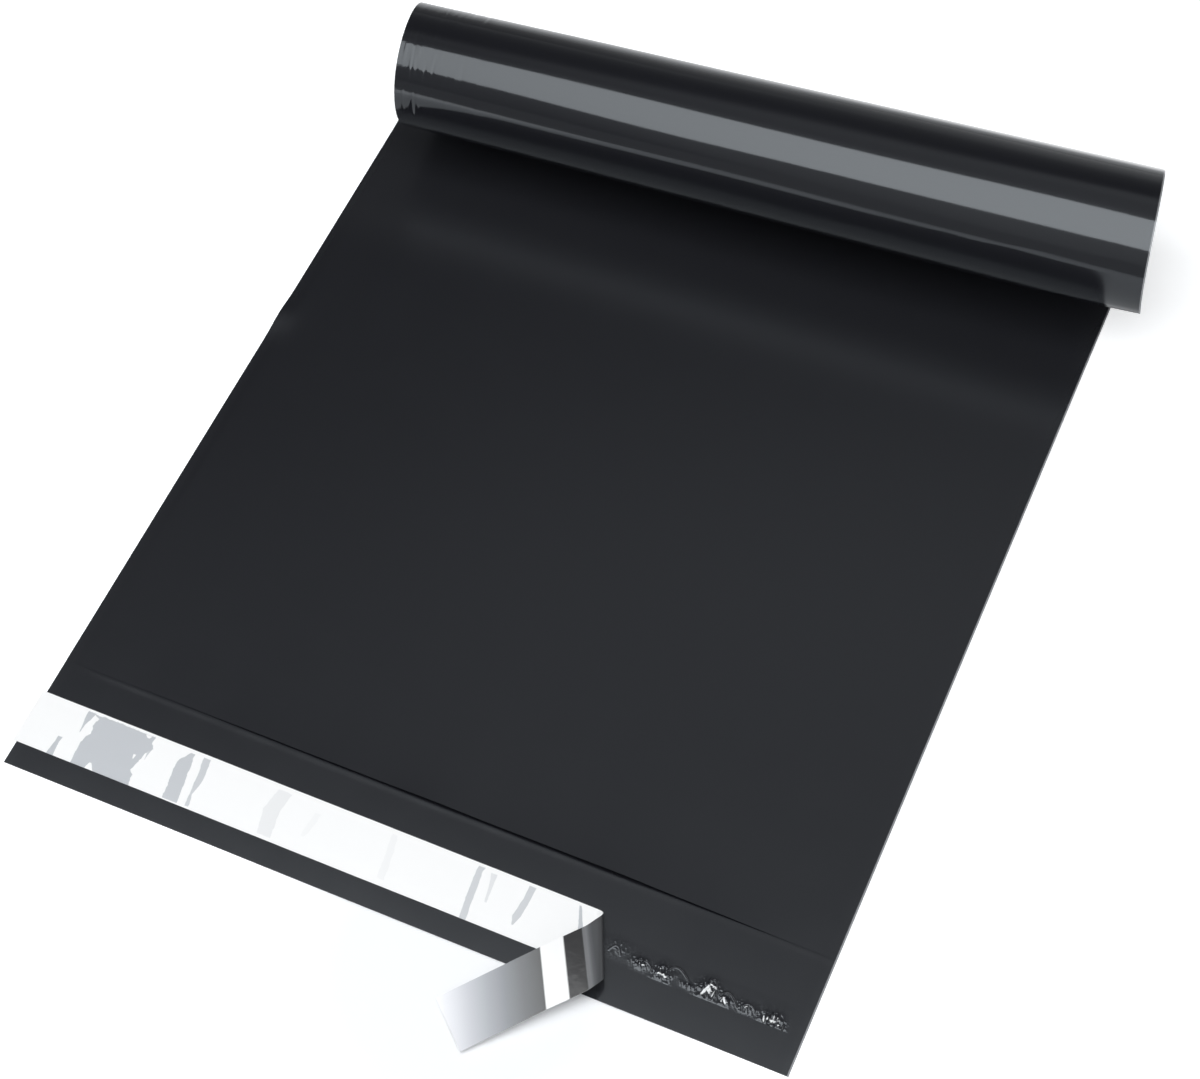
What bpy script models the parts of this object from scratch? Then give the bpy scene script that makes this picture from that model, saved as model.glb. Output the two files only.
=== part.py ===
# Poly mailer bag: a black film bag with its closed end curled over, a glue band on its flap and a peeled liner.
# Metres, +Z up. The bag lies on Z = 0 with its flap towards -Y, and its underside is centred on the origin.

import math

import bmesh
import bpy
from mathutils import Vector

# Film bag
bagWidth = 0.305
flapDepth = 0.0466  # closing flap, from its front edge to the pocket's mouth
pocketLength = 0.470  # pocket's mouth to the closed end
filmWall = 0.00035
pocketGap = 0.00035  # air between the back and the front panel
sealWidth = 0.006  # heat-sealed band along each side

# Curl of the closed end, over an axis that lies nearly across the bag
curlStart = 0.3255  # flap's left corner to the line where the film lifts, square to the curl's axis
curlSkew = math.radians(4.5)  # turn of that axis away from the bag's width
curlRadiusLeft = 0.0361  # radius where the film lifts, at the left side
curlRadiusRight = 0.0419
curlTightening = 0.15  # gain in curvature for each radius of film that is taken up
curlStep = 0.004  # film between two bend lines
curlPanel = 0.025  # film between two lines along the bag, so that the taper's twist is spread over them

# Glue band and liner on the flap
pieceGap = 0.0003  # between pieces that lie on each other
glueWidth = 0.009
glueThickness = 0.0003
glueMargin = 0.006  # bare flap at each end of the glue
linerSetback = 0.0093  # flap's front edge to the liner
linerWidth = 0.0223
linerThickness = 0.0003
linerOverhang = 0.0014  # liner past the flap's left side
linerLength = 0.2931
peelStart = 0.2132  # flap's left corner to the line where the liner lifts, square to that line
peelSkew = math.radians(24.0)  # turn of that line away from the bag's length
peelRadius = 0.0034  # radius of the loop in which it folds back
peelSlide = 0.0040  # how far it shifts towards the flap's front edge in that loop
peelSlideRun = 0.0145  # liner that this shift takes up
peelEase = 0.030  # radius where it turns down to the floor
linerStep = 0.0011  # liner between two bend lines

bagLength = flapDepth + pocketLength
linerBase = filmWall + glueThickness + 2 * pieceGap
flatMiddle = Vector((bagWidth / 2, curlStart / 2, 0))


def clearScene():
    for thing in list(bpy.data.objects):
        bpy.data.objects.remove(thing, do_unlink=True)


def makeMaterial(name, colour, roughness, alpha=1.0):
    material = bpy.data.materials.new(name)
    material.use_nodes = True
    surface = material.node_tree.nodes["Principled BSDF"]
    surface.inputs["Base Color"].default_value = (*colour, 1.0)
    surface.inputs["Roughness"].default_value = roughness
    surface.inputs["Metallic"].default_value = 0.0
    surface.inputs["Alpha"].default_value = alpha
    return material


# A box between two corners
def addBox(mesh, low, high):
    made = bmesh.ops.create_cube(mesh, size=1.0)
    for vertex in made["verts"]:
        vertex.co = Vector(h if c > 0 else l for c, l, h in zip(vertex.co, low, high))


def cutAcross(mesh, place, normal):
    everything = mesh.verts[:] + mesh.edges[:] + mesh.faces[:]
    bmesh.ops.bisect_plane(mesh, geom=everything, dist=1e-7, plane_co=place, plane_no=normal)


# Moves out the faces that lie in the plane y = mouth and pass the test
def drawOut(mesh, mouth, chosen, distance):
    mesh.normal_update()
    flat = [f for f in mesh.faces if abs(f.normal.y) > 0.9 and abs(f.calc_center_median().y - mouth) < 1e-6]
    faces = [f for f in flat if chosen(f.calc_center_median())]
    made = bmesh.ops.extrude_face_region(mesh, geom=faces)
    bmesh.ops.delete(mesh, geom=faces, context="FACES")
    moved = [item for item in made["geom"] if isinstance(item, bmesh.types.BMVert)]
    bmesh.ops.translate(mesh, verts=moved, vec=(0, distance, 0))


# Film run up a curl that tightens: distance along, height and heading
def alongCurl(run, radius):
    steps = 32
    along = 0.0
    height = 0.0
    for index in range(steps):
        turned = (index + 0.5) / steps * run / radius
        heading = turned + curlTightening * turned**2 / 2
        along += math.cos(heading) * run / steps
        height += math.sin(heading) * run / steps
    turned = run / radius
    return along, height, turned + curlTightening * turned**2 / 2


# Bends a flat sheet beyond a line across it, by a rule that gives distance along, height, heading and slide across
def bendSheet(mesh, start, step, along, base, rule):
    bmesh.ops.recalc_face_normals(mesh, faces=mesh.faces)
    across = along.cross(Vector((0, 0, 1)))
    end = max(vertex.co.dot(along) for vertex in mesh.verts)
    for index in range(math.floor((end - start) / step) + 1):
        cutAcross(mesh, along * (start + index * step), along)
    for vertex in mesh.verts:
        run = vertex.co.dot(along) - start
        if run > 0:
            distance, height, heading, slide = rule(run, vertex.co.dot(across))
            lift = vertex.co.z - base
            distance -= lift * math.sin(heading)
            height += base + lift * math.cos(heading)
            place = across * (vertex.co.dot(across) + slide) + along * (start + distance)
            vertex.co = place + Vector((0, 0, height))


def curlRule(run, place):
    share = place / bagWidth
    return *alongCurl(run, curlRadiusLeft + (curlRadiusRight - curlRadiusLeft) * share), 0.0


def finishObject(name, mesh, material, collection):
    data = bpy.data.meshes.new(name)
    mesh.to_mesh(data)
    mesh.free()
    data.materials.append(material)
    data.shade_smooth()
    data.set_sharp_from_angle(angle=math.radians(40))
    thing = bpy.data.objects.new(name, data)
    thing.location = -flatMiddle
    collection.objects.link(thing)
    return thing


# Front and back panels joined at the closed end and the side seals, with the flap beyond the pocket's mouth
def makeFilmBag():
    mesh = bmesh.new()
    thickness = 2 * filmWall + pocketGap
    addBox(mesh, (0, flapDepth, 0), (bagWidth, bagLength, thickness))
    for side in (sealWidth, bagWidth - sealWidth):
        cutAcross(mesh, (side, 0, 0), (1, 0, 0))
    for level in (filmWall, filmWall + pocketGap):
        cutAcross(mesh, (0, 0, level), (0, 0, 1))
    drawOut(mesh, flapDepth, lambda c: sealWidth < c.x < bagWidth - sealWidth
            and filmWall < c.z < filmWall + pocketGap, pocketLength - filmWall)
    drawOut(mesh, flapDepth, lambda c: c.z < filmWall, -flapDepth)
    panels = math.ceil(bagWidth / curlPanel)
    for index in range(1, panels):
        cutAcross(mesh, (bagWidth * index / panels, 0, 0), (1, 0, 0))
    along = Vector((-math.sin(curlSkew), math.cos(curlSkew), 0))
    bendSheet(mesh, curlStart, curlStep, along, 0.0, curlRule)
    return mesh


def makeGlue():
    mesh = bmesh.new()
    middle = linerSetback + linerWidth / 2
    base = filmWall + pieceGap
    low = (glueMargin, middle - glueWidth / 2, base)
    high = (bagWidth - glueMargin, middle + glueWidth / 2, base + glueThickness)
    addBox(mesh, low, high)
    return mesh


# Run along arcs of (radius, turn) and on straight: distance along, height and heading
def alongArcs(bends, run):
    distance = 0.0
    height = 0.0
    heading = 0.0
    for radius, turn in bends:
        taken = min(run, radius * abs(turn))
        side = math.copysign(radius, turn)
        turned = heading + taken / side
        distance += side * (math.sin(turned) - math.sin(heading))
        height += side * (math.cos(heading) - math.cos(turned))
        heading = turned
        run -= taken
    return distance + run * math.cos(heading), height + run * math.sin(heading), heading


# Loop of the peeled liner and its turn down to the floor
def peelBends(slope):
    return [(peelRadius, math.pi), (peelEase, slope)]


# Slope at which the end of the peeled liner just lies on the floor
def landingSlope(run):
    low = 0.0
    high = math.radians(80)
    for _ in range(40):
        slope = (low + high) / 2
        _, height, heading = alongArcs(peelBends(slope), run)
        underside = linerBase + height + linerThickness * math.cos(heading)
        if underside > 0:
            low = slope
        else:
            high = slope
    return low


# Shift of the peeled liner across its run, eased in and out
def slideAcross(run):
    share = min(run / peelSlideRun, 1)
    return peelSlide * share * share * (3 - 2 * share)


def makeLiner():
    mesh = bmesh.new()
    right = linerLength - linerOverhang
    back = linerSetback + linerWidth
    addBox(mesh, (-linerOverhang, linerSetback, linerBase), (right, back, linerBase + linerThickness))
    along = Vector((math.cos(peelSkew), math.sin(peelSkew), 0))
    end = right * along.x + back * along.y
    bends = peelBends(landingSlope(end - peelStart))
    bendSheet(mesh, peelStart, linerStep, along, linerBase,
              lambda run, place: (*alongArcs(bends, run), slideAcross(run)))
    return mesh


def main():
    clearScene()
    collection = bpy.data.collections.new("poly mailer bag")
    bpy.context.scene.collection.children.link(collection)
    film = makeMaterial("black film", (0.022, 0.023, 0.026), 0.30)
    glue = makeMaterial("clear glue", (0.75, 0.75, 0.72), 0.12, 0.35)
    paper = makeMaterial("glossy liner", (0.88, 0.89, 0.91), 0.15)
    finishObject("film_bag", makeFilmBag(), film, collection)
    finishObject("adhesive_strip", makeGlue(), glue, collection)
    finishObject("release_liner", makeLiner(), paper, collection)


main()
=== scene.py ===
import math

import bpy
import numpy as np
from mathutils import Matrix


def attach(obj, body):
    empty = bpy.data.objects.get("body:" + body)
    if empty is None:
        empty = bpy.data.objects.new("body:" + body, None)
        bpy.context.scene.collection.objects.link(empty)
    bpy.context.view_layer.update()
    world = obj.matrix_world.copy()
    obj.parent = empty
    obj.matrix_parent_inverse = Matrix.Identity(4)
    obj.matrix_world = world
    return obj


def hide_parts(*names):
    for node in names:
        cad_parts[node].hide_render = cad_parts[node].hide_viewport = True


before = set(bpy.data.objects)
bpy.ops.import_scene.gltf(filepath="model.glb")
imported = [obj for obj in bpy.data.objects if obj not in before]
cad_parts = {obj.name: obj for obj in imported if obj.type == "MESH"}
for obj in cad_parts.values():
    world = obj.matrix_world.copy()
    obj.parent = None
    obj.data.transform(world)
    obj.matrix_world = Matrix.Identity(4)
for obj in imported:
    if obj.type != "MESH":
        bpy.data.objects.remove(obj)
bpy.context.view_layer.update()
scene = bpy.context.scene
scene.view_settings.view_transform = "Standard"
print("packed frame loaded")

# Everything is drawn on the flat bag, x from its left side and y from the flap's front edge, then bent
bag = {
    "width": 0.305,
    "flapDepth": 0.0466,
    "pocketLength": 0.470,
    "wall": 0.00012,  # film
    "gap": 0.00010,  # air between the two panels
    "sealWidth": 0.006,  # welded band along each side
    "sealPressed": 0.0025,  # outer part of it, where the panels are pressed together
    "pressedShare": 0.15,  # of the gap that is left there
    "curlStart": 0.3255,
    "curlSkew": math.radians(4.5),
    "curlRadiusLeft": 0.0361,
    "curlRadiusRight": 0.0419,
    "curlTightening": 0.15,
    "lipLift": 0.0015,  # how far the pocket's mouth stands open at its highest
    "lipReach": 0.018,  # how fast that dies away into the pocket
    "swellHeight": 0.00006,  # soft ridge on the flap, just in front of the mouth
    "swellWidth": 0.0014,
    "swellSetback": 0.0006,
    # slow undulation of the flat film, as waves: radians a metre along x and y, phase and share
    "slackHeight": 0.00012,
    "slackWaves": [(29, 11, 0.7, 1.0), (-17, 37, 2.1, 1.0), (61, 23, 4.0, 0.6)],
    "slackEnd": (0.30, 0.34),
    "curlHeight": 0.000035,
    "curlWaves": [(9, 210, 0.0, 1.0), (-31, 140, 1.0, 1.0), (45, 80, 0.0, 0.8)],
    "curlWavesStart": (0.34, 0.38),
    # the left edge stands up a little in one place
    "raisedAt": 0.221,
    "raisedLength": 0.0075,
    "raisedWidth": 0.006,
    "raisedHeight": 0.0011,
}
bag["length"] = bag["flapDepth"] + bag["pocketLength"]
flatMiddle = np.array([bag["width"] / 2, bag["curlStart"] / 2, 0.0])

# Groups of puckers beside the left weld: how many, then ranges of x, y, half length, half width and height
puckerGroups = [
    (30, (0.0030, 0.030), (0.380, 0.470), (0.003, 0.007), (0.0004, 0.0008), (-0.00008, 0.00009)),
    (16, (0.0025, 0.009), (0.430, 0.490), (0.003, 0.007), (0.0004, 0.0006), (-0.00012, 0.00014)),
    (14, (0.0100, 0.034), (0.392, 0.412), (0.004, 0.009), (0.0005, 0.0008), (-0.00018, 0.00020)),
    (9, (0.0080, 0.020), (0.412, 0.426), (0.003, 0.005), (0.0004, 0.0006), (-0.00014, 0.00016)),
    (6, (0.0080, 0.018), (0.430, 0.452), (0.002, 0.004), (0.0004, 0.0006), (-0.00012, 0.00014)),
]

liner = {
    "setback": 0.0093,
    "width": 0.0223,
    "overhang": 0.0014,
    "length": 0.2931,
    "thickness": 0.00010,
    "base": 0.00034,  # underside above the floor, over the glue
    "droop": 0.00008,  # edges hang this far beside the glue
    "ripple": 0.00006,
    "peelStart": 0.2132,
    "peelSkew": math.radians(24.0),
    "radius": 0.0034,  # loop in which it folds back
    "slide": 0.0040,  # shift towards the flap's front edge in that loop
    "slideRun": 0.0145,
    "ease": 0.030,  # radius where it turns down to the floor
    "kink": math.radians(3.5),  # crease across the peeled tail
    "kinkRadius": 0.0004,
    "kinkBack": 0.0211,  # fold's edge back to that crease
}

glue = {
    "width": 0.009,
    "margin": 0.006,
    "border": 0.0012,  # grid beyond the band's sides, for what has torn and spread
    "height": 0.00003,
    "ridgeHeight": 0.0012,
    "tornFrom": (0.222, 0.230),
    "closeGrid": (0.218, 0.2985),
    "gridStep": 0.00016,
    "grainSize": 0.0007,
    "speckSize": 0.00042,
    "threadSize": 0.0006,
    "archWidth": 0.00026,
    "crestGlintWidth": 0.00016,
    # torn clusters left where the liner has come off: x, y, half length, half width, share of the height
    "tufts": [
        (0.2330, 0.0215, 0.0040, 0.0028, 0.12),
        (0.2430, 0.0188, 0.0030, 0.0018, 0.70),
        (0.2512, 0.0185, 0.0030, 0.0026, 0.78),
        (0.2615, 0.0175, 0.0030, 0.0010, 0.40),
        (0.2682, 0.0188, 0.0034, 0.0032, 1.00),
        (0.2745, 0.0175, 0.0020, 0.0020, 0.90),
        (0.2825, 0.0180, 0.0038, 0.0017, 0.55),
        (0.2925, 0.0170, 0.0036, 0.0028, 0.85),
    ],
    # skins drawn up into arches: two feet and the crown between them, share of the height
    "arches": [
        ((0.2305, 0.0190), (0.2325, 0.0240), (0.2350, 0.0185), 0.10),
        ((0.2412, 0.0190), (0.2445, 0.0215), (0.2475, 0.0172), 0.30),
        ((0.2524, 0.0195), (0.2545, 0.0252), (0.2605, 0.0190), 0.42),
        ((0.2680, 0.0225), (0.2695, 0.0250), (0.2715, 0.0175), 0.42),
        ((0.2728, 0.0190), (0.2752, 0.0226), (0.2795, 0.0168), 0.45),
        ((0.2812, 0.0178), (0.2832, 0.0208), (0.2862, 0.0170), 0.30),
        ((0.2942, 0.0136), (0.2975, 0.0128), (0.2966, 0.0165), 0.50),
    ],
    # painted glints on the glue: x, y, half length, half width, turn
    "glintFlecks": [
        (0.2671, 0.0183, 0.0028, 0.0006, 1.20),
        (0.2746, 0.0171, 0.0016, 0.0004, 2.20),
        (0.2525, 0.0172, 0.0006, 0.0004, 0.30),
        (0.2498, 0.0176, 0.0005, 0.0003, 0.90),
        (0.2437, 0.0182, 0.0006, 0.0003, 0.20),
        (0.2701, 0.0178, 0.0014, 0.0002, 1.50),
        (0.2895, 0.0163, 0.0014, 0.0003, 1.90),
        (0.2926, 0.0181, 0.0010, 0.0002, 1.60),
        (0.2955, 0.0140, 0.0010, 0.0003, 0.50),
        (0.2950, 0.0160, 0.0004, 0.0003, 0.50),
    ],
}


def smooth(low, high, value):
    share = np.clip((value - low) / (high - low), 0, 1)
    return share * share * (3 - 2 * share)


def bump(value, middle, width):
    return np.exp(-(((value - middle) / width) ** 2))


def waves(x, y, parts):
    return sum(share * np.sin(alongX * x + alongY * y + phase) for alongX, alongY, phase, share in parts)


# Film run up a curl that tightens: distance along, height and heading
def alongCurl(run, radius):
    steps = 48
    along = np.zeros_like(run)
    height = np.zeros_like(run)
    for index in range(steps):
        turned = (index + 0.5) / steps * run / radius
        heading = turned + bag["curlTightening"] * turned**2 / 2
        along += np.cos(heading) * run / steps
        height += np.sin(heading) * run / steps
    turned = run / radius
    return along, height, turned + bag["curlTightening"] * turned**2 / 2


# Flat bag to the row frame, with the closed end curled over
def onBag(x, y, lift):
    skew = bag["curlSkew"]
    across = x * math.cos(skew) + y * math.sin(skew)
    forward = y * math.cos(skew) - x * math.sin(skew)
    run = np.maximum(forward - bag["curlStart"], 0)
    taper = bag["curlRadiusRight"] - bag["curlRadiusLeft"]
    distance, height, heading = alongCurl(run, bag["curlRadiusLeft"] + taper * across / bag["width"])
    forward = np.where(run > 0, bag["curlStart"] + distance, forward) - lift * np.sin(heading)
    height = height + lift * np.cos(heading)
    place = np.stack([across * math.cos(skew) - forward * math.sin(skew),
                      across * math.sin(skew) + forward * math.cos(skew), height], -1)
    return place - flatMiddle


# Run along arcs of (radius, turn) and on straight: distance, height and heading
def alongArcs(bends, run):
    distance = np.zeros_like(run)
    height = np.zeros_like(run)
    heading = np.zeros_like(run)
    left = run.copy()
    for radius, turn in bends:
        taken = np.minimum(left, radius * abs(turn))
        side = math.copysign(radius, turn)
        turned = heading + taken / side
        distance += side * (np.sin(turned) - np.sin(heading))
        height += side * (np.cos(heading) - np.cos(turned))
        heading = turned
        left = left - taken
    return distance + left * np.cos(heading), height + left * np.sin(heading), heading


# A closed thin sheet from the two faces of a grid of points, with its flat places kept as a UV map
def sheetPiece(name, upper, lower, flatX, flatY, material):
    rows, columns = flatX.shape
    count = rows * columns
    index = np.arange(count).reshape(rows, columns)
    top = np.stack([index[:-1, :-1], index[:-1, 1:], index[1:, 1:], index[1:, :-1]], -1).reshape(-1, 4)
    ring = np.concatenate([index[0, :-1], index[:-1, -1], index[-1, :0:-1], index[:0:-1, 0]])
    after = np.roll(ring, -1)
    rim = np.stack([ring, ring + count, after + count, after], -1)
    faces = np.concatenate([top, top[:, ::-1] + count, rim])
    points = np.concatenate([upper.reshape(-1, 3), lower.reshape(-1, 3)])
    data = bpy.data.meshes.new(name)
    data.from_pydata(points.tolist(), [], faces.tolist())
    corners = np.empty(len(data.loops), np.int32)
    data.loops.foreach_get("vertex_index", corners)
    places = np.stack([flatX.ravel(), flatY.ravel()], -1)
    places = np.concatenate([places, places])[corners]
    data.uv_layers.new(name="flat").data.foreach_set("uv", places.astype(np.float32).ravel())
    data.shade_smooth()
    data.set_sharp_from_angle(angle=math.radians(50))
    data.materials.append(material)
    piece = bpy.data.objects.new(name, data)
    scene.collection.objects.link(piece)
    return piece


# Values kept at the mesh's points, for a material to read
def keepAtPoints(piece, name, values):
    kept = piece.data.attributes.new(name, "FLOAT", "POINT")
    kept.data.foreach_set("value", values.astype(np.float32))


# Node helpers
def newMaterial(name):
    material = bpy.data.materials.new(name)
    material.use_nodes = True
    tree = material.node_tree
    return material, tree, tree.nodes["Principled BSDF"]


def addNode(tree, kind, **values):
    node = tree.nodes.new(kind)
    for key, value in values.items():
        setattr(node, key, value)
    return node


def link(tree, source, target):
    tree.links.new(source, target)


def calc(tree, operation, first, second=None, third=None):
    node = addNode(tree, "ShaderNodeMath", operation=operation)
    for slot, value in zip(node.inputs, (first, second, third)):
        if isinstance(value, (int, float)):
            slot.default_value = value
        elif value is not None:
            link(tree, value, slot)
    return node.outputs[0]


# 0 below low, 1 above high, eased between
def ease(tree, value, low, high):
    node = addNode(tree, "ShaderNodeMapRange", interpolation_type="SMOOTHSTEP")
    link(tree, value, node.inputs["Value"])
    node.inputs["From Min"].default_value = low
    node.inputs["From Max"].default_value = high
    return node.outputs["Result"]


# The other way round
def fade(tree, value, low, high):
    return calc(tree, "SUBTRACT", 1.0, ease(tree, value, low, high))


def noise(tree, place, scale, detail=2.0, rough=0.5):
    node = addNode(tree, "ShaderNodeTexNoise")
    link(tree, place, node.inputs["Vector"])
    node.inputs["Scale"].default_value = scale
    node.inputs["Detail"].default_value = detail
    node.inputs["Roughness"].default_value = rough
    return node.outputs["Fac"]


def stretched(tree, place, scales):
    node = addNode(tree, "ShaderNodeMapping", vector_type="POINT")
    link(tree, place, node.inputs["Vector"])
    node.inputs["Scale"].default_value = scales
    return node.outputs["Vector"]


def mixColours(tree, share, first, second):
    node = addNode(tree, "ShaderNodeMix", data_type="RGBA")
    link(tree, share, node.inputs["Factor"])
    for slot, value in ((node.inputs[6], first), (node.inputs[7], second)):
        if isinstance(value, tuple):
            slot.default_value = (*value, 1.0)
        else:
            link(tree, value, slot)
    return node.outputs[2]


def addBump(tree, surface, heights):
    normal = None
    for height, distance in heights:
        node = addNode(tree, "ShaderNodeBump")
        node.inputs["Distance"].default_value = distance
        link(tree, height, node.inputs["Height"])
        if normal is not None:
            link(tree, normal, node.inputs["Normal"])
        normal = node.outputs["Normal"]
    link(tree, normal, surface.inputs["Normal"])


def apart(tree, vector):
    parts = addNode(tree, "ShaderNodeSeparateXYZ")
    link(tree, vector, parts.inputs[0])
    return parts.outputs


def flatPlace(tree):
    place = addNode(tree, "ShaderNodeUVMap", uv_map="flat").outputs["UV"]
    x, y, _ = apart(tree, place)
    return place, x, y


def pointValue(tree, name):
    return addNode(tree, "ShaderNodeAttribute", attribute_type="GEOMETRY", attribute_name=name).outputs["Fac"]


# Black polyethylene film: glossy, a little blue, with fine gauge lines and weld ribs, painted light in the lee
# of the curl and a painted highlight along its right edge
filmLook = {
    "colour": (0.0084, 0.0087, 0.0112),
    "weldColour": (0.0088, 0.0091, 0.0116),
    "weldSide": (0.0022, 0.0036),  # distances from the side between which the weld's look ends
    "footLightColour": (0.0130, 0.0134, 0.0160),  # painted light: the film made paler in the lee of the curl, where it is slack
    "footLightSide": (0.258, 0.284),
    # painted highlight along the film's right edge: its colour and width
    "edgeHighlightColour": (0.26, 0.265, 0.275),
    "edgeHighlightWidth": 0.00055,
    "sheen": (0.90, 0.955, 1.0),  # tint of its reflections
    "refraction": 1.6,
    "flatRoughness": 0.18,
    "slackRoughness": 0.26,  # of the flat film near the curl
    "slackSide": (0.10, 0.25),
    "curlRoughness": 0.09,
    "curlSide": (bag["curlStart"], bag["curlStart"] + 0.02),
    "weldRoughness": 0.015,  # more than the film beside it
    "mottleScale": 60.0,
    "mottleRoughness": 0.04,
    "grainScale": 900.0,
    "grainHeight": 0.0000022,
    "gaugeScale": (4.0, 420.0, 1.0),
    "gaugeHeight": 0.0000030,
    "ribScale": 260.0,
    "ribWobble": 0.6,
    "ribHeight": 0.000003,
}


def makeFilmMaterial():
    material, tree, surface = newMaterial("black film")
    place, x, y = flatPlace(tree)
    width, edge = bag["width"], filmLook["edgeHighlightWidth"]
    side = calc(tree, "MINIMUM", x, calc(tree, "SUBTRACT", width, x))
    weld = fade(tree, side, *filmLook["weldSide"])
    # painted highlight: a pale line along the right edge
    edgeHighlight = ease(tree, x, width - edge * 1.2, width - edge)
    forward = calc(tree, "SUBTRACT", calc(tree, "MULTIPLY", y, math.cos(bag["curlSkew"])),
                   calc(tree, "MULTIPLY", x, math.sin(bag["curlSkew"])))
    # painted light: the film made paler in the lee of the curl
    foot = calc(tree, "MULTIPLY", ease(tree, forward, *filmLook["footLightSide"]),
                fade(tree, forward, *filmLook["curlSide"]))
    colour = mixColours(tree, weld, filmLook["colour"], filmLook["weldColour"])
    colour = mixColours(tree, foot, colour, filmLook["footLightColour"])
    colour = mixColours(tree, edgeHighlight, colour, filmLook["edgeHighlightColour"])
    link(tree, colour, surface.inputs["Base Color"])

    mottle, slack = filmLook["mottleRoughness"], filmLook["slackRoughness"]
    rough = calc(tree, "MULTIPLY_ADD", noise(tree, place, filmLook["mottleScale"], 3.0), mottle,
                 filmLook["flatRoughness"] - mottle / 2)
    rough = calc(tree, "MULTIPLY_ADD", ease(tree, y, *filmLook["slackSide"]),
                 slack - filmLook["flatRoughness"], rough)
    rough = calc(tree, "MULTIPLY_ADD", ease(tree, forward, *filmLook["curlSide"]),
                 filmLook["curlRoughness"] - slack, rough)
    rough = calc(tree, "MULTIPLY_ADD", weld, filmLook["weldRoughness"], rough)
    link(tree, rough, surface.inputs["Roughness"])
    surface.inputs["IOR"].default_value = filmLook["refraction"]
    surface.inputs["Specular Tint"].default_value = (*filmLook["sheen"], 1.0)

    grain = noise(tree, place, filmLook["grainScale"], 2.0, 0.6)
    gauge = noise(tree, stretched(tree, place, filmLook["gaugeScale"]), 1.0)
    ribs = addNode(tree, "ShaderNodeTexWave", wave_type="BANDS", bands_direction="Y")
    link(tree, place, ribs.inputs["Vector"])
    ribs.inputs["Scale"].default_value = filmLook["ribScale"]
    ribs.inputs["Distortion"].default_value = filmLook["ribWobble"]
    ribbed = calc(tree, "MULTIPLY", ribs.outputs["Fac"], weld)
    addBump(tree, surface, [(grain, filmLook["grainHeight"]), (gauge, filmLook["gaugeHeight"]),
                            (ribbed, filmLook["ribHeight"])])
    return material


# Clear hot-melt glue, wetted onto the black film, with painted white glints where it has torn
glueLook = {
    "colour": (0.0084, 0.0087, 0.0112),
    "glintColour": (0.86, 0.87, 0.88),
    "roughness": 0.17,
    "tornRoughness": 0.06,
    "cloudScale": 700.0,
    "cloudRoughness": 0.03,
}


def makeGlueMaterial():
    material, tree, surface = newMaterial("clear glue")
    place, _, _ = flatPlace(tree)
    # painted glints: the glue is coloured white where the glints are
    colour = mixColours(tree, pointValue(tree, "glintShare"), glueLook["colour"], glueLook["glintColour"])
    link(tree, colour, surface.inputs["Base Color"])
    rough = calc(tree, "MULTIPLY_ADD", pointValue(tree, "torn"),
                 glueLook["tornRoughness"] - glueLook["roughness"], glueLook["roughness"])
    rough = calc(tree, "MULTIPLY_ADD", noise(tree, place, glueLook["cloudScale"], 3.0),
                 glueLook["cloudRoughness"], rough)
    link(tree, rough, surface.inputs["Roughness"])
    surface.inputs["IOR"].default_value = filmLook["refraction"]
    surface.inputs["Specular Tint"].default_value = (*filmLook["sheen"], 1.0)
    addBump(tree, surface, [(noise(tree, place, filmLook["grainScale"], 2.0, 0.6), filmLook["grainHeight"])])
    return material
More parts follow.
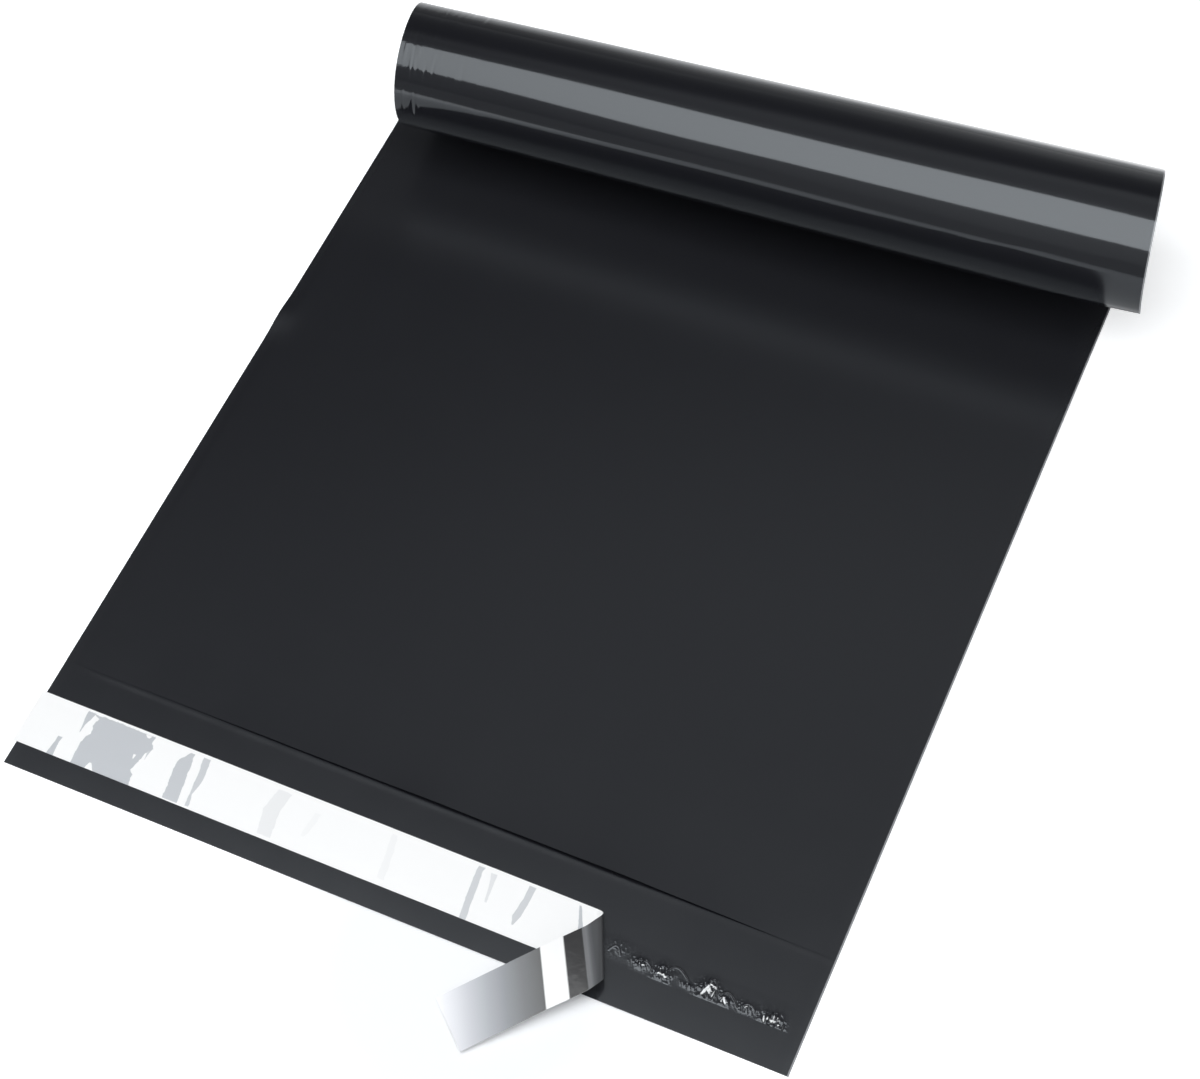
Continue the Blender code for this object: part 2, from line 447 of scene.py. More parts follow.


# The liner's white face, its underside with painted reflections and shade where it is turned over, and the
# patches where it clings to the film
linerLook = {
    "colour": (0.91, 0.91, 0.91),
    "clingColour": (0.522, 0.540, 0.568),
    "roughness": 0.10,
    "roughnessSpread": 0.08,
    "refraction": 1.5,
    "clingHeight": 0.00003,
    "grainScale": 220.0,
    "grainHeight": 0.00002,
    "raggedScales": (420.0, 150.0),  # coarse and fine raggedness of the patches' edges
    "slant": 0.0022,  # turn of the painted reflection zones on the underside, as a shift from the front edge to the back edge
    # each patch: points of its left and right side as (x, y) in millimetres, how ragged and how strong it is
    "patches": [
        ([(21.2, 30.8), (21.8, 29.8), (23.9, 29.1), (22.8, 26.8), (23.6, 23.1), (21.9, 18.9), (22.0, 13.8),
          (22.3, 9.2)],
         [(46.2, 30.8), (45.8, 28.4), (47.3, 26.0), (45.8, 23.2), (45.3, 20.9), (44.1, 17.4), (43.7, 15.1),
          (45.3, 13.7), (46.2, 9.2)], 0.0009, 1.0),
        ([(18.4, 30.9), (18.3, 27.7), (19.0, 24.0), (19.3, 21.3)],
         [(21.5, 30.9), (20.7, 28.0), (19.9, 25.4), (19.5, 21.3)], 0.0003, 1.15),
        ([(13.0, 17.4), (12.9, 14.0), (12.3, 9.2)], [(14.9, 17.4), (14.5, 14.9), (14.8, 9.2)], 0.0004, 1.2),
        ([(45.9, 25.5), (46.1, 22.8), (46.3, 20.6)], [(47.1, 25.5), (46.9, 22.8), (46.7, 20.6)], 0.0003, 0.8),
        ([(60.7, 30.2), (58.2, 26.0), (57.7, 24.9), (59.2, 12.5), (59.7, 9.7)],
         [(62.7, 30.2), (62.5, 28.3), (64.6, 17.2), (65.3, 9.7)], 0.0005, 0.95),
        ([(65.8, 30.4), (67.4, 21.9), (67.4, 19.8), (68.6, 10.0)],
         [(68.9, 30.4), (70.0, 21.3), (69.0, 15.0), (70.0, 10.0)], 0.0004, 0.85),
        ([(96.9, 29.8), (94.9, 20.3), (95.5, 19.3), (97.4, 10.4)],
         [(101.9, 29.8), (101.2, 22.0), (102.7, 10.4)], 0.0006, 0.28),
        ([(112.9, 26.4), (112.2, 20.0), (112.0, 15.6)],
         [(115.5, 26.4), (114.6, 20.0), (113.4, 15.6)], 0.0004, 0.10),
        ([(141.7, 29.7), (143.1, 20.9), (144.1, 11.5)],
         [(144.2, 29.7), (145.8, 21.1), (147.1, 11.5)], 0.0005, 0.14),
        ([(175.6, 30.6), (175.4, 28.4), (176.3, 16.9), (177.4, 9.3)],
         [(178.3, 30.6), (177.8, 29.0), (178.9, 18.0), (179.9, 9.3)], 0.0003, 0.80),
        ([(180.6, 29.8), (182.2, 24.2), (183.0, 18.0)],
         [(183.2, 29.8), (183.3, 25.3), (184.1, 18.0)], 0.0003, 0.45),
        ([(195.1, 30.6), (195.3, 25.1), (194.3, 17.6), (195.4, 13.9)],
         [(197.9, 30.6), (197.8, 25.6), (197.3, 18.3), (196.0, 13.9)], 0.0002, 0.80),
        ([(214.3, 30.6), (218.2, 20.0)], [(215.2, 30.6), (220.4, 20.0)], 0.0002, 1.0),
    ],
    # white breaks in the first patch, drawn the same way
    "breaks": [
        ([(28.0, 9.2), (28.8, 12.2)], [(31.6, 9.2), (29.5, 12.2)], 0.0003),
        ([(41.8, 21.6), (42.2, 19.4)], [(42.9, 21.6), (42.6, 19.4)], 0.0003),
        ([(42.0, 30.6), (43.2, 29.0)], [(44.8, 30.6), (43.9, 29.0)], 0.0003),
    ],
    # painted reflections and shade on the peeled underside: colours by the distance back from the fold's edge
    "reflectionZones": [
        (0.0000, (0.050, 0.051, 0.054)), (0.0011, (0.074, 0.076, 0.080)), (0.0032, (0.072, 0.075, 0.080)),
        (0.0043, (0.100, 0.103, 0.110)), (0.0054, (0.165, 0.170, 0.178)), (0.0065, (0.150, 0.154, 0.161)),
        (0.0067, (0.022, 0.022, 0.023)), (0.0130, (0.025, 0.025, 0.027)), (0.0132, (0.90, 0.90, 0.90)),
        (0.0210, (0.90, 0.90, 0.90)), (0.0212, (0.060, 0.062, 0.064)), (0.0280, (0.128, 0.135, 0.143)),
        (0.0340, (0.220, 0.233, 0.252)), (0.0400, (0.345, 0.360, 0.390)), (0.0460, (0.500, 0.512, 0.550)),
        (0.0520, (0.700, 0.708, 0.745)), (0.0570, (0.850, 0.853, 0.880)), (0.0600, (0.90, 0.90, 0.915)),
    ],
}


# Share of the liner's width at y in millimetres
def widthShare(y):
    return (y / 1000 - liner["setback"]) / liner["width"]


# Place along the bag, at a share of the liner's width, of a side drawn as (x, y) in millimetres
def drawnSide(tree, share, points):
    low = min(x for x, y in points) - 0.5
    span = max(x for x, y in points) + 0.5 - low
    node = addNode(tree, "ShaderNodeFloatCurve")
    link(tree, share, node.inputs["Value"])
    curve = node.mapping.curves[0]
    marks = sorted((widthShare(y), (x - low) / span) for x, y in points)
    for _ in marks[2:]:
        curve.points.new(0.5, 0.5)
    for point, mark in zip(curve.points, marks):
        point.location = mark
        point.handle_type = "VECTOR"
    node.mapping.use_clip = False
    node.mapping.update()
    return calc(tree, "MULTIPLY_ADD", node.outputs["Value"], span / 1000, low / 1000)


# 1 inside a shape drawn by its two sides, 0 outside, with a ragged edge
def drawnShape(tree, x, share, jitter, left, right, ragged):
    inset = calc(tree, "MINIMUM", calc(tree, "SUBTRACT", x, drawnSide(tree, share, left)),
                 calc(tree, "SUBTRACT", drawnSide(tree, share, right), x))
    inside = ease(tree, calc(tree, "MULTIPLY_ADD", jitter, ragged * 2, inset), -0.00006, 0.00010)
    low, high = (widthShare(limit(y for _, y in left)) for limit in (min, max))
    # a shape that reaches the liner's edge runs out past it
    low = -0.5 if low < 0.01 else low
    high = 1.5 if high > 0.99 else high
    wobble = calc(tree, "MULTIPLY_ADD", jitter, ragged * 60, share)
    ends = calc(tree, "MULTIPLY", ease(tree, wobble, low, low + 0.02), fade(tree, wobble, high - 0.02, high))
    return calc(tree, "MULTIPLY", inside, ends)


# Stops are the painted reflections and shade of the turned-over underside, by the run beyond the line where
# the liner lifts
def makeLinerMaterial(reflectionStops):
    material, tree, surface = newMaterial("glossy liner")
    place, x, y = flatPlace(tree)
    share = calc(tree, "DIVIDE", calc(tree, "SUBTRACT", y, liner["setback"]), liner["width"])
    coarseScale, fineScale = linerLook["raggedScales"]
    coarse = calc(tree, "SUBTRACT", noise(tree, place, coarseScale, 3.0, 0.65), 0.5)
    fine = calc(tree, "SUBTRACT", noise(tree, place, fineScale, 2.0, 0.6), 0.5)
    jitter = calc(tree, "ADD", coarse, fine)
    whole = None
    for left, right, ragged, strength in linerLook["patches"]:
        mask = calc(tree, "MULTIPLY", drawnShape(tree, x, share, jitter, left, right, ragged), strength)
        whole = mask if whole is None else calc(tree, "MAXIMUM", whole, mask)
    for left, right, ragged in linerLook["breaks"]:
        mask = drawnShape(tree, x, share, jitter, left, right, ragged)
        whole = calc(tree, "MULTIPLY", whole, calc(tree, "SUBTRACT", 1.0, mask))
    shown = mixColours(tree, whole, linerLook["colour"], linerLook["clingColour"])

    skew = liner["peelSkew"]
    run = calc(tree, "SUBTRACT", calc(tree, "ADD", calc(tree, "MULTIPLY", x, math.cos(skew)),
                                      calc(tree, "MULTIPLY", y, math.sin(skew))), liner["peelStart"])
    run = calc(tree, "MULTIPLY_ADD", calc(tree, "SUBTRACT", share, 0.5), -linerLook["slant"], run)
    first, last = reflectionStops[0][0], reflectionStops[-1][0]
    turnedOver = ease(tree, run, first - 0.0001, first + 0.0001)
    ramp = addNode(tree, "ShaderNodeValToRGB")
    link(tree, calc(tree, "DIVIDE", run, last), ramp.inputs["Fac"])
    marks = ramp.color_ramp.elements
    for start, _ in reflectionStops[1:-1]:
        marks.new(start / last)
    for mark, (start, colour) in zip(marks, reflectionStops):
        mark.position = start / last
        mark.color = (*colour, 1.0)
    # painted reflections and shade on the turned-over underside
    underReflections = mixColours(tree, turnedOver, linerLook["colour"], ramp.outputs["Color"])
    link(tree, mixColours(tree, pointValue(tree, "underside"), shown, underReflections), surface.inputs["Base Color"])
    rough = calc(tree, "MULTIPLY_ADD", coarse, linerLook["roughnessSpread"], linerLook["roughness"])
    link(tree, rough, surface.inputs["Roughness"])
    surface.inputs["IOR"].default_value = linerLook["refraction"]
    addBump(tree, surface, [(noise(tree, place, linerLook["grainScale"]), linerLook["grainHeight"]),
                            (whole, linerLook["clingHeight"])])
    return material


def makePuckers():
    chance = np.random.default_rng(11)
    return [[chance.uniform(low, high) for low, high in ranges] for count, *ranges in puckerGroups
            for _ in range(count)]


puckers = makePuckers()


# Shallow undulation of the film, the same in both panels so that they stay clear of each other
def filmWave(x, y):
    flat = 1 - smooth(*bag["slackEnd"], y)
    most = sum(share for *_, share in bag["slackWaves"])
    lift = bag["slackHeight"] * (most + waves(x, y, bag["slackWaves"])) / 2 * (0.25 + 0.75 * flat)
    lift += smooth(*bag["curlWavesStart"], y) * bag["curlHeight"] * waves(x, y, bag["curlWaves"])
    raised = bag["raisedHeight"] * bump(y, bag["raisedAt"], bag["raisedLength"])
    lift += raised * bump(x, 0.0, bag["raisedWidth"])
    for placeX, placeY, halfLength, halfWidth, height in puckers:
        lift += height * (bump(y, placeY, halfLength) * bump(x, placeX, halfWidth))
    return lift


# How far the mouth stands open along it: shut at the welds, widest towards the right
def mouthShare(x):
    share = smooth(0.008, 0.12, x) * (1 - smooth(0.225, 0.295, x)) * (0.55 + 0.45 * smooth(0.06, 0.21, x))
    return share * (1 + 0.12 * np.sin(x * 95) + 0.08 * np.sin(x * 171 + 1))


# Height of the soft ridge on the flap along the mouth
def flapSwell(x, y):
    along = smooth(0.002, 0.02, x) * (1 - 0.6 * smooth(0.16, 0.28, x))
    across = bump(y, bag["flapDepth"] - bag["swellSetback"], bag["swellWidth"])
    return bag["swellHeight"] * along * across * (1 + 0.15 * np.sin(x * 260))


def makeFilmBag(material):
    wall, gap, width = bag["wall"], bag["gap"], bag["width"]
    mouth, closed = bag["flapDepth"], bag["length"] - wall
    # the grid is close at the edges, the mouth, the raised place on the left edge and the puckers
    columns = np.concatenate([
        np.linspace(0, 0.0005, 3)[:-1], np.arange(0.0005, 0.034, 0.0004),
        np.arange(0.034, width - 0.012, 0.005), np.arange(width - 0.012, width - 0.0005, 0.0015),
        np.linspace(width - 0.0005, width, 3)])
    slackRows = np.concatenate([np.arange(mouth + 0.006, 0.200, 0.011), np.arange(0.200, 0.243, 0.0035),
                                np.arange(0.243, 0.320, 0.011)])
    curlRows = np.concatenate([np.arange(0.320, 0.375, 0.0032), np.arange(0.375, 0.490, 0.0018),
                               np.arange(0.490, closed - 0.001, 0.0032)])
    backRows = np.concatenate([np.linspace(0, mouth - 0.008, 9)[:-1],
                               np.linspace(mouth - 0.008, mouth + 0.006, 32)[:-1], slackRows, curlRows])
    foldTurns = math.pi * np.linspace(0, 1, 9)[1:-1]
    frontRows = np.concatenate([[closed], curlRows[::-1], slackRows[slackRows > mouth + 0.024][::-1],
                                np.linspace(mouth + 0.020, mouth, 26)])
    # the web's rows: place, turn round the fold at the closed end, and 0 on the back to 1 on the front panel
    rows = [(y, 0.0, 0.0) for y in backRows]
    rows += [(closed, turn, (1 - math.cos(turn)) / 2) for turn in foldTurns]
    rows += [(y, math.pi, 1.0) for y in frontRows]
    y, turn, front = (np.array(values)[:, None] for values in zip(*rows))
    foldRadius = (wall + gap) / 2
    x, y, turn, front = np.broadcast_arrays(columns[None, :], y + foldRadius * np.sin(turn), turn, front)

    unsealed = smooth(bag["sealPressed"], bag["sealWidth"], np.minimum(x, width - x))
    between = wall + gap * (bag["pressedShare"] + (1 - bag["pressedShare"]) * unsealed)
    lip = bag["lipLift"] * mouthShare(x) * np.exp(-np.maximum(y - mouth, 0) / bag["lipReach"])
    half = wall / 2
    lift = half + filmWave(x, y) + front * (between + lip) + (1 - front) * flapSwell(x, y)
    upper = onBag(x, y - np.sin(turn) * half, lift + np.cos(turn) * half)
    lower = onBag(x, y + np.sin(turn) * half, lift - np.cos(turn) * half)
    piece = sheetPiece("film_web", upper, lower, x, y, material)
    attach(piece, "root")
    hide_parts("film_bag")


# Smooth random bumps of a given size, between -1 and 1
def grit(x, y, size, seed):
    table = np.random.default_rng(seed).uniform(-1, 1, (64, 256))
    column, row = x / size, y / size
    left, low = np.floor(column).astype(int), np.floor(row).astype(int)
    shareX, shareY = smooth(0, 1, column - left), smooth(0, 1, row - low)

    def at(dx, dy):
        return table[(low + dy) % 64, (left + dx) % 256]

    lower = at(0, 0) * (1 - shareX) + at(1, 0) * shareX
    upper = at(0, 1) * (1 - shareX) + at(1, 1) * shareX
    return lower * (1 - shareY) + upper * shareY


# Distance from an arch drawn by two feet and its crown
def awayFromArch(x, y, foot, crown, otherFoot):
    away = np.full_like(x, 1.0)
    for step in np.linspace(0, 1, 25):
        alongX, alongY = ((1 - step) ** 2 * start + 2 * step * (1 - step) * middle + step**2 * end
                          for start, middle, end in zip(foot, crown, otherFoot))
        away = np.minimum(away, np.hypot(x - alongX, y - alongY))
    return away


# Share of the torn glue's height over the flap, its painted white glints, and how near a cluster is
def tornGlue(x, y):
    near = np.zeros_like(x)
    for placeX, placeY, halfLength, halfWidth, share in glue["tufts"]:
        near = np.maximum(near, share * bump(x, placeX, halfLength) * bump(y, placeY, halfWidth))
    fine = 0.6 * grit(x, y * 0.8, glue["grainSize"], 3) + 0.4 * grit(x, y, glue["speckSize"], 5)
    threads = 1 - np.abs(grit(x + 0.3 * y, y * 0.25, glue["threadSize"], 7))
    # threads and grains make up a cluster's height, over a low base
    strands = near * (0.05 + 0.60 * threads**3 + 0.55 * np.maximum(fine, 0) ** 1.3)
    # painted glints along the arches' crests
    crestGlints = np.zeros_like(x)
    for foot, crown, otherFoot, share in glue["arches"]:
        away = awayFromArch(x, y, foot, crown, otherFoot)
        strands = np.maximum(strands, share * bump(away, 0, glue["archWidth"]))
        crestGlints = np.maximum(crestGlints, share * bump(away, 0, glue["crestGlintWidth"]) * (0.6 + 0.6 * fine))
    # painted glints: white at the clusters' peaks, on the crests and in the flecks
    glintShare = np.maximum(0.95 * smooth(0.50, 0.62, near * (0.40 + fine)), 0.30 * crestGlints)
    for placeX, placeY, halfLength, halfWidth, turn in glue["glintFlecks"]:
        alongIt = (x - placeX) * math.cos(turn) + (y - placeY) * math.sin(turn)
        acrossIt = (y - placeY) * math.cos(turn) - (x - placeX) * math.sin(turn)
        glintFleck = bump(alongIt, 0, halfLength) * bump(acrossIt, 0, halfWidth)
        glintShare = np.maximum(glintShare, smooth(0.35, 0.6, glintFleck))
    return strands, glintShare, near


def makeGlueBand(material):
    left, right = glue["margin"], bag["width"] - glue["margin"]
    closeStart, closeEnd = glue["closeGrid"]
    columns = np.concatenate([np.arange(left, closeStart, 0.004),
                              np.arange(closeStart, closeEnd, glue["gridStep"]), [right]])
    middle = liner["setback"] + liner["width"] / 2
    reach = glue["width"] / 2 + glue["border"]
    rows = np.linspace(middle - reach, middle + reach, 70)
    x, y = np.meshgrid(columns, rows)
    clear = 0.00001
    floorLift = bag["wall"] + filmWave(x, y) + clear
    across = np.clip(1 - ((y - middle) / (glue["width"] / 2)) ** 2, 0, 1)
    strands, glintShare, near = tornGlue(x, y)
    height = glue["height"] * across + glue["ridgeHeight"] * strands * smooth(*glue["tornFrom"], x)
    ends = np.minimum(smooth(left, left + 0.001, x), 1 - smooth(right - 0.001, right, x))
    sides = smooth(rows[0], rows[2], y) * (1 - smooth(rows[-3], rows[-1], y))
    upper = onBag(x, y, floorLift + clear + height * np.minimum(ends, sides))
    lower = onBag(x, y, floorLift)
    piece = sheetPiece("glue_band", upper, lower, x, y, material)
    # the painted glints, kept at the points
    keepAtPoints(piece, "glintShare", np.tile(glintShare.ravel(), 2))
    keepAtPoints(piece, "torn", np.tile(smooth(0.05, 0.25, np.maximum(near, strands)).ravel(), 2))
    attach(piece, "root")
    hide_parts("adhesive_strip")


# Loop, ease and crease of the peeled liner, which then slopes down to the floor, and how far the loop reaches
def peelBends(slope):
    bends = [(liner["radius"], math.pi), (liner["ease"], max(slope - liner["kink"], 1e-4))]
    run = np.linspace(0, 0.06, 1201)
    distance, _, _ = alongArcs(bends, run)
    apex = distance.max()
    beyond = run > run[distance.argmax()]
    kinkRun = run[beyond][np.argmax(apex - distance[beyond] > liner["kinkBack"])]
    straight = kinkRun - sum(radius * abs(turn) for radius, turn in bends)
    # a straight run is an arc of a huge radius
    huge = 1e6
    return bends + [(huge, straight / huge), (liner["kinkRadius"], liner["kink"])], apex


# Slope at which the end of the peeled liner just lies on the floor
def landingSlope(run):
    low, high = 0.0, math.radians(60)
    for _ in range(40):
        slope = (low + high) / 2
        bends, _ = peelBends(slope)
        _, height, _ = alongArcs(bends, np.array([run]))
        if liner["base"] + height[0] - liner["thickness"] > 0:
            low = slope
        else:
            high = slope
    return low


# The painted reflections and shade of the underside by their run along the liner, from their distances back
# from the fold's edge
def paintedReflectionStops(bends, apex, end):
    run = np.linspace(0, end, 4001)
    distance, _, _ = alongArcs(bends, run)
    beyond = run >= run[distance.argmax()]
    runs = np.interp([back for back, _ in linerLook["reflectionZones"]], apex - distance[beyond], run[beyond])
    reflectionStops = [(float(place), colour) for place, (_, colour) in zip(runs, linerLook["reflectionZones"])]
    return [(runs[0] * 0.5, linerLook["reflectionZones"][0][1])] + reflectionStops


def makeLinerStrip():
    skew = liner["peelSkew"]
    right = liner["length"] - liner["overhang"]
    back = liner["setback"] + liner["width"]
    end = right * math.cos(skew) + back * math.sin(skew) - liner["peelStart"]
    bends, apex = peelBends(landingSlope(end))
    material = makeLinerMaterial(paintedReflectionStops(bends, apex, end))

    closeStart = 0.190
    columns = np.concatenate([np.arange(-liner["overhang"], closeStart, 0.003),
                              np.arange(closeStart, right, 0.0005), [right]])
    x, y = np.meshgrid(columns, np.linspace(liner["setback"], back, 29))
    along = x * math.cos(skew) + y * math.sin(skew)
    run = np.maximum(along - liner["peelStart"], 0)
    distance, height, heading = alongArcs(bends, run)
    flat = 1 - smooth(0.0, 0.004, run)
    offMiddle = np.abs(y - (liner["setback"] + liner["width"] / 2))
    ripple = liner["ripple"] * np.sin(x * 190 + y * 130) * np.sin(x * 83) * smooth(0, 0.02, x)
    droop = liner["droop"] * smooth(glue["width"] / 2, glue["width"] / 2 + 0.006, offMiddle)
    settled = (ripple - droop) * flat + filmWave(x, y) * flat
    sides = []
    for offset in (liner["thickness"], 0.0):
        lift = settled + offset
        forward = np.where(run > 0, liner["peelStart"] + distance, along) - lift * np.sin(heading)
        across = y * math.cos(skew) - x * math.sin(skew) - liner["slide"] * smooth(0, liner["slideRun"], run)
        place = np.stack([forward * math.cos(skew) - across * math.sin(skew),
                          forward * math.sin(skew) + across * math.cos(skew),
                          liner["base"] + height + lift * np.cos(heading)], -1)
        sides.append(place - flatMiddle)
    piece = sheetPiece("liner_strip", *sides, x, y, material)
    keepAtPoints(piece, "underside", np.repeat([0.0, 1.0], x.size))
    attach(piece, "root")
    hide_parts("release_liner")


makeFilmBag(makeFilmMaterial())
print("film bag made")
makeGlueBand(makeGlueMaterial())
print("glue band made")
makeLinerStrip()
print("liner made")

# Floor, overhead sheet of light and lamps. Places are in metres and pairs are where a change starts and ends
studio = {
    "floorColour": (0.86, 0.87, 0.885),
    "floorRoughness": 0.9,
    "floorHalf": 12.0,
    "floorHeight": -0.0002,
    "floorGlow": 0.50,  # seen by the camera, so that the ground is white
    "tailGlow": 0.03,  # the same beside the liner's tail, where its shadow lies
    "tailPlace": (0.035, -0.172, 0.0),
    "tailReach": (0.04, 0.11),
    "farGlow": 0.7,  # more of it far out
    "farMirrored": 0.2,  # share of that in reflections
    "farReach": (0.4, 2.0),
    "mirrorGlow": 0.08,  # seen in reflections
    "leftGlow": 0.95,  # more of it to the left of the bag
    "leftX": (-0.30, -0.16),
    "leftY": (0.20, 0.32),
    "backGlow": 0.95,  # and close behind it, on the right
    "backX": (-0.12, 0.16),
    "backY": (0.22, 0.27),
    "backEndY": (0.33, 0.48),
    "backLeast": 0.15,
    "hoodHeight": 1.0,
    "hoodTint": (0.99, 1.0, 1.01),
    "walls": 3.0,
    "wallGlow": 0.34,
    # light of the hood from left to right, then its share from front to back, and the turn of its back part
    "hoodByX": [(-3.0, 0.24), (-0.55, 0.245), (-0.45, 0.275), (-0.36, 0.325), (-0.28, 0.365), (-0.10, 0.41),
                (0.05, 0.455), (3.0, 0.46)],
    "hoodByY": [(-3.0, 0.90), (-0.95, 1.25), (0.17, 1.20), (0.28, 0.96), (0.364, 0.84), (0.45, 0.95),
                (0.52, 0.97), (0.57, 0.93), (0.65, 0.76), (0.71, 0.56), (0.78, 0.395), (0.865, 0.28),
                (1.0, 0.195), (1.2, 0.20), (2.0, 0.40), (3.0, 0.80)],
    "hoodTurn": 0.5,
    "hoodTurnX": -0.3,
    "hoodTurnY": (0.36, 0.56),
    "hoodFarGlow": 0.40,  # in place of the light from left to right, far back
    "hoodFarY": (0.75, 1.05),
    # light of the back wall by height, and its share from left to right
    "backByZ": [(0.0, 0.62), (0.35, 0.45), (1.0, 0.30)],
    "backWallX": (-1.3, -0.2),
    "backWallShares": (0.5, 1.1),
    "softboxByX": [(-0.66, 2.75), (-0.40, 3.35), (-0.10, 3.85), (0.15, 4.1), (0.32, 4.2)],
    "softboxTint": (0.985, 1.0, 1.01),
    "softboxFront": [(-0.66, -0.74), (-0.30, -0.89), (-0.10, -0.89), (0.06, -0.81), (0.32, -0.74)],
    "softboxBack": 0.165,
    "softboxDrop": 0.01,  # under the hood
}


def addPlane(name, corners, material):
    data = bpy.data.meshes.new(name)
    data.from_pydata(corners, [], [tuple(range(len(corners)))])
    data.materials.append(material)
    piece = bpy.data.objects.new(name, data)
    scene.collection.objects.link(piece)
    return piece


def worldPlace(tree):
    return addNode(tree, "ShaderNodeNewGeometry").outputs["Position"]


def makeFloor():
    material, tree, surface = newMaterial("pale floor")
    surface.inputs["Base Color"].default_value = (*studio["floorColour"], 1.0)
    surface.inputs["Roughness"].default_value = studio["floorRoughness"]
    surface.inputs["Specular IOR Level"].default_value = 0.0
    rays = addNode(tree, "ShaderNodeLightPath")
    mirrored = calc(tree, "MAXIMUM", rays.outputs["Is Glossy Ray"], rays.outputs["Is Transmission Ray"])
    spot = worldPlace(tree)
    x, y, _ = apart(tree, spot)

    tail = addNode(tree, "ShaderNodeVectorMath", operation="DISTANCE")
    link(tree, spot, tail.inputs[0])
    tail.inputs[1].default_value = studio["tailPlace"]
    plain = calc(tree, "MULTIPLY_ADD", ease(tree, tail.outputs["Value"], *studio["tailReach"]),
                 studio["floorGlow"] - studio["tailGlow"], studio["tailGlow"])
    onLeft = calc(tree, "MULTIPLY", fade(tree, x, *studio["leftX"]), fade(tree, y, *studio["leftY"]))
    reflected = calc(tree, "MULTIPLY_ADD", onLeft, studio["leftGlow"], studio["mirrorGlow"])
    spread = 1 - studio["backLeast"]
    behind = calc(tree, "MULTIPLY", ease(tree, y, *studio["backY"]),
                  calc(tree, "MULTIPLY_ADD", ease(tree, y, *studio["backEndY"]), -spread, 1.0))
    behind = calc(tree, "MULTIPLY", behind, calc(tree, "MULTIPLY_ADD", ease(tree, x, *studio["backX"]),
                                                 spread, studio["backLeast"]))
    reflected = calc(tree, "MULTIPLY_ADD", behind, studio["backGlow"], reflected)
    glow = calc(tree, "MULTIPLY", rays.outputs["Is Camera Ray"], plain)
    glow = calc(tree, "MULTIPLY_ADD", mirrored, reflected, glow)
    far = addNode(tree, "ShaderNodeVectorMath", operation="LENGTH")
    link(tree, spot, far.inputs[0])
    outer = calc(tree, "MULTIPLY", ease(tree, far.outputs["Value"], *studio["farReach"]), studio["farGlow"])
    outer = calc(tree, "MULTIPLY", outer, calc(tree, "MULTIPLY_ADD", mirrored, studio["farMirrored"] - 1, 1.0))
    surface.inputs["Emission Color"].default_value = (1, 1, 1, 1)
    link(tree, calc(tree, "ADD", glow, outer), surface.inputs["Emission Strength"])
    half, height = studio["floorHalf"], studio["floorHeight"]
    addPlane("floor", [(-half, -half, height), (half, -half, height), (half, half, height),
                       (-half, half, height)], material)


def glowMaterial(name, tint):
    material = bpy.data.materials.new(name)
    material.use_nodes = True
    tree = material.node_tree
    tree.nodes.clear()
    out = addNode(tree, "ShaderNodeOutputMaterial")
    glow = addNode(tree, "ShaderNodeEmission")
    glow.inputs["Color"].default_value = (*tint, 1.0)
    link(tree, glow.outputs[0], out.inputs["Surface"])
    return material, tree, glow


# A plane that lights the scene and is seen in reflections alone
def addLamp(name, corners, material):
    piece = addPlane(name, corners, material)
    piece.visible_camera = False
    piece.visible_transmission = False
    piece.visible_shadow = False


# Strength at a place, from a list of (place, strength)
def strengthAt(tree, place, points):
    low, high = points[0][0], points[-1][0]
    most = max(strength for _, strength in points)
    ramp = addNode(tree, "ShaderNodeValToRGB")
    marks = ramp.color_ramp.elements
    for start, _ in points[1:-1]:
        marks.new((start - low) / (high - low))
    for mark, (start, strength) in zip(marks, points):
        mark.position = (start - low) / (high - low)
        mark.color = (*[strength / most] * 3, 1.0)
    link(tree, calc(tree, "DIVIDE", calc(tree, "SUBTRACT", place, low), high - low), ramp.inputs["Fac"])
    return calc(tree, "MULTIPLY", ramp.outputs["Color"], most)


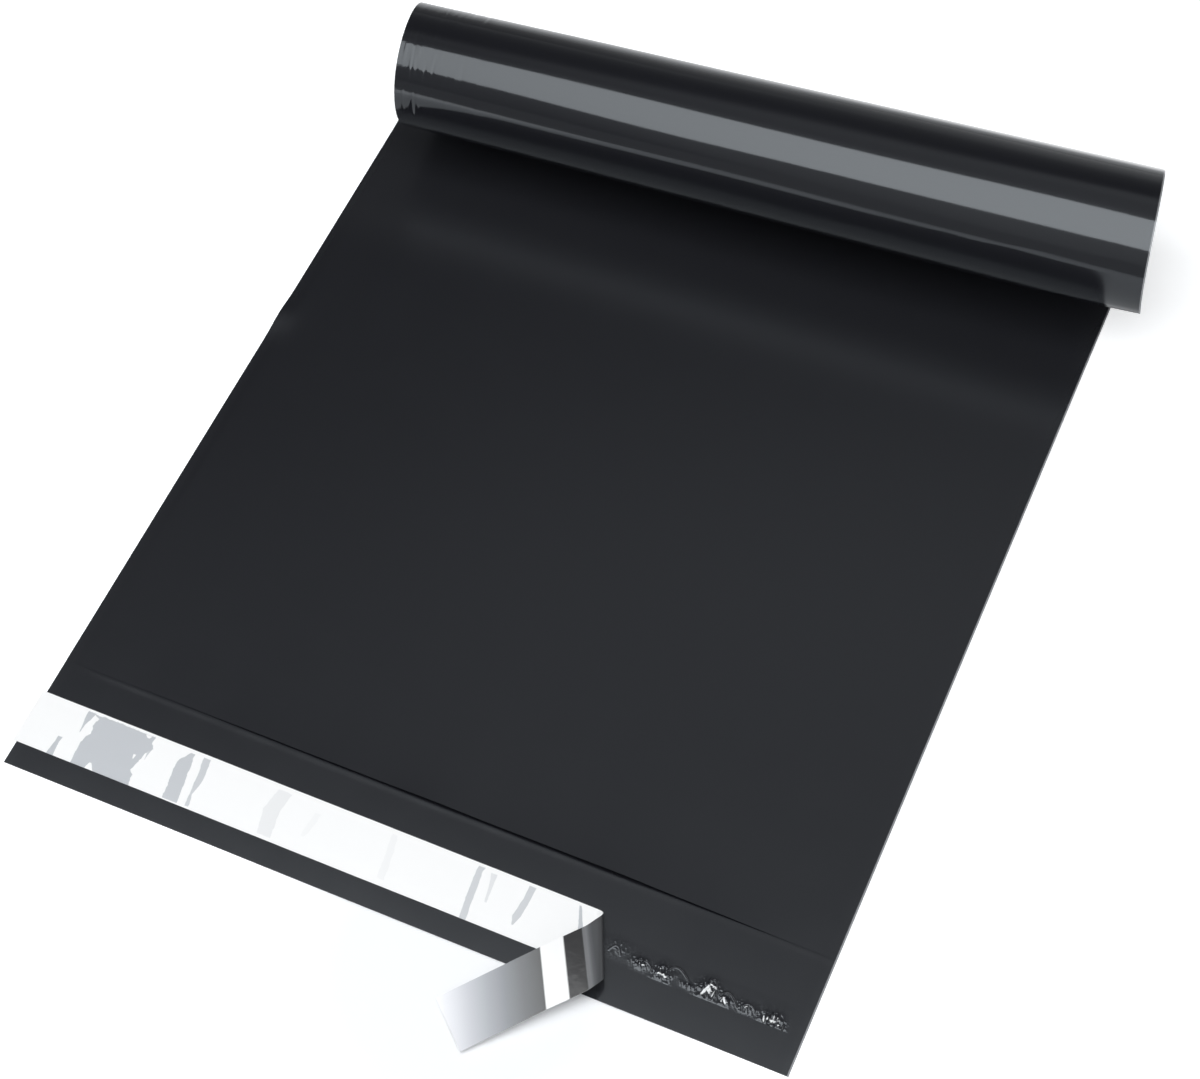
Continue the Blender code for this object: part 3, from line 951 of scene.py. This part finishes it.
def makeHood():
    reach, high = studio["walls"], studio["hoodHeight"]
    material, tree, glow = glowMaterial("hood cloth", studio["hoodTint"])
    x, y, _ = apart(tree, worldPlace(tree))
    beyond = ease(tree, y, *studio["hoodFarY"])
    nearer = calc(tree, "SUBTRACT", 1.0, beyond)
    turn = calc(tree, "MULTIPLY_ADD", x, studio["hoodTurn"], -studio["hoodTurn"] * studio["hoodTurnX"])
    turned = calc(tree, "MULTIPLY", turn, calc(tree, "MULTIPLY", ease(tree, y, *studio["hoodTurnY"]), nearer))
    byX = calc(tree, "ADD", calc(tree, "MULTIPLY", strengthAt(tree, x, studio["hoodByX"]), nearer),
               calc(tree, "MULTIPLY", beyond, studio["hoodFarGlow"]))
    byY = strengthAt(tree, calc(tree, "SUBTRACT", y, turned), studio["hoodByY"])
    link(tree, calc(tree, "MULTIPLY", byX, byY), glow.inputs["Strength"])
    addLamp("hood_top", [(-reach, -reach, high), (-reach, reach, high), (reach, reach, high),
                         (reach, -reach, high)], material)

    material, tree, glow = glowMaterial("back cloth", studio["hoodTint"])
    x, _, z = apart(tree, worldPlace(tree))
    least, most = studio["backWallShares"]
    share = calc(tree, "MULTIPLY_ADD", ease(tree, x, *studio["backWallX"]), most - least, least)
    link(tree, calc(tree, "MULTIPLY", share, strengthAt(tree, z, studio["backByZ"])), glow.inputs["Strength"])
    addLamp("hood_back", [(-reach, reach, 0), (reach, reach, 0), (reach, reach, high), (-reach, reach, high)],
            material)

    material, tree, glow = glowMaterial("side cloth", studio["hoodTint"])
    glow.inputs["Strength"].default_value = studio["wallGlow"]
    addLamp("hood_front", [(-reach, -reach, 0), (-reach, -reach, high), (reach, -reach, high),
                           (reach, -reach, 0)], material)
    addLamp("hood_left", [(-reach, -reach, 0), (-reach, reach, 0), (-reach, reach, high),
                          (-reach, -reach, high)], material)
    addLamp("hood_right", [(reach, -reach, 0), (reach, -reach, high), (reach, reach, high),
                           (reach, reach, 0)], material)


def makeSoftbox():
    material, tree, glow = glowMaterial("softbox cloth", studio["softboxTint"])
    x, _, _ = apart(tree, worldPlace(tree))
    link(tree, strengthAt(tree, x, studio["softboxByX"]), glow.inputs["Strength"])
    back, high = studio["softboxBack"], studio["hoodHeight"] - studio["softboxDrop"]
    front = [(x, y, high) for x, y in studio["softboxFront"]]
    addLamp("softbox", [(front[0][0], back, high), (front[-1][0], back, high), *front[::-1]], material)


def makeWorld():
    world = bpy.data.worlds.new("white backdrop")
    world.use_nodes = True
    sky = world.node_tree.nodes["Background"]
    sky.inputs["Color"].default_value = (1, 1, 1, 1)
    sky.inputs["Strength"].default_value = 1.0
    scene.world = world


# Fitted to the photo
photoCamera = {
    "place": (0.23846, -0.52331, 0.91118),
    "tilt": math.radians(32.558),
    "heading": math.radians(23.344),
    "lens": 85.20,
    "sensorWidth": 36.0,
}


def makeCamera():
    data = bpy.data.cameras.new("camera")
    data.lens = photoCamera["lens"]
    data.sensor_width = photoCamera["sensorWidth"]
    data.sensor_fit = "HORIZONTAL"
    data.clip_start = 0.01
    data.clip_end = 100.0
    camera = bpy.data.objects.new("camera", data)
    camera.location = photoCamera["place"]
    camera.rotation_euler = (photoCamera["tilt"], 0.0, photoCamera["heading"])
    scene.collection.objects.link(camera)
    scene.camera = camera


makeFloor()
makeHood()
makeSoftbox()
makeWorld()
makeCamera()
print("studio and camera made")
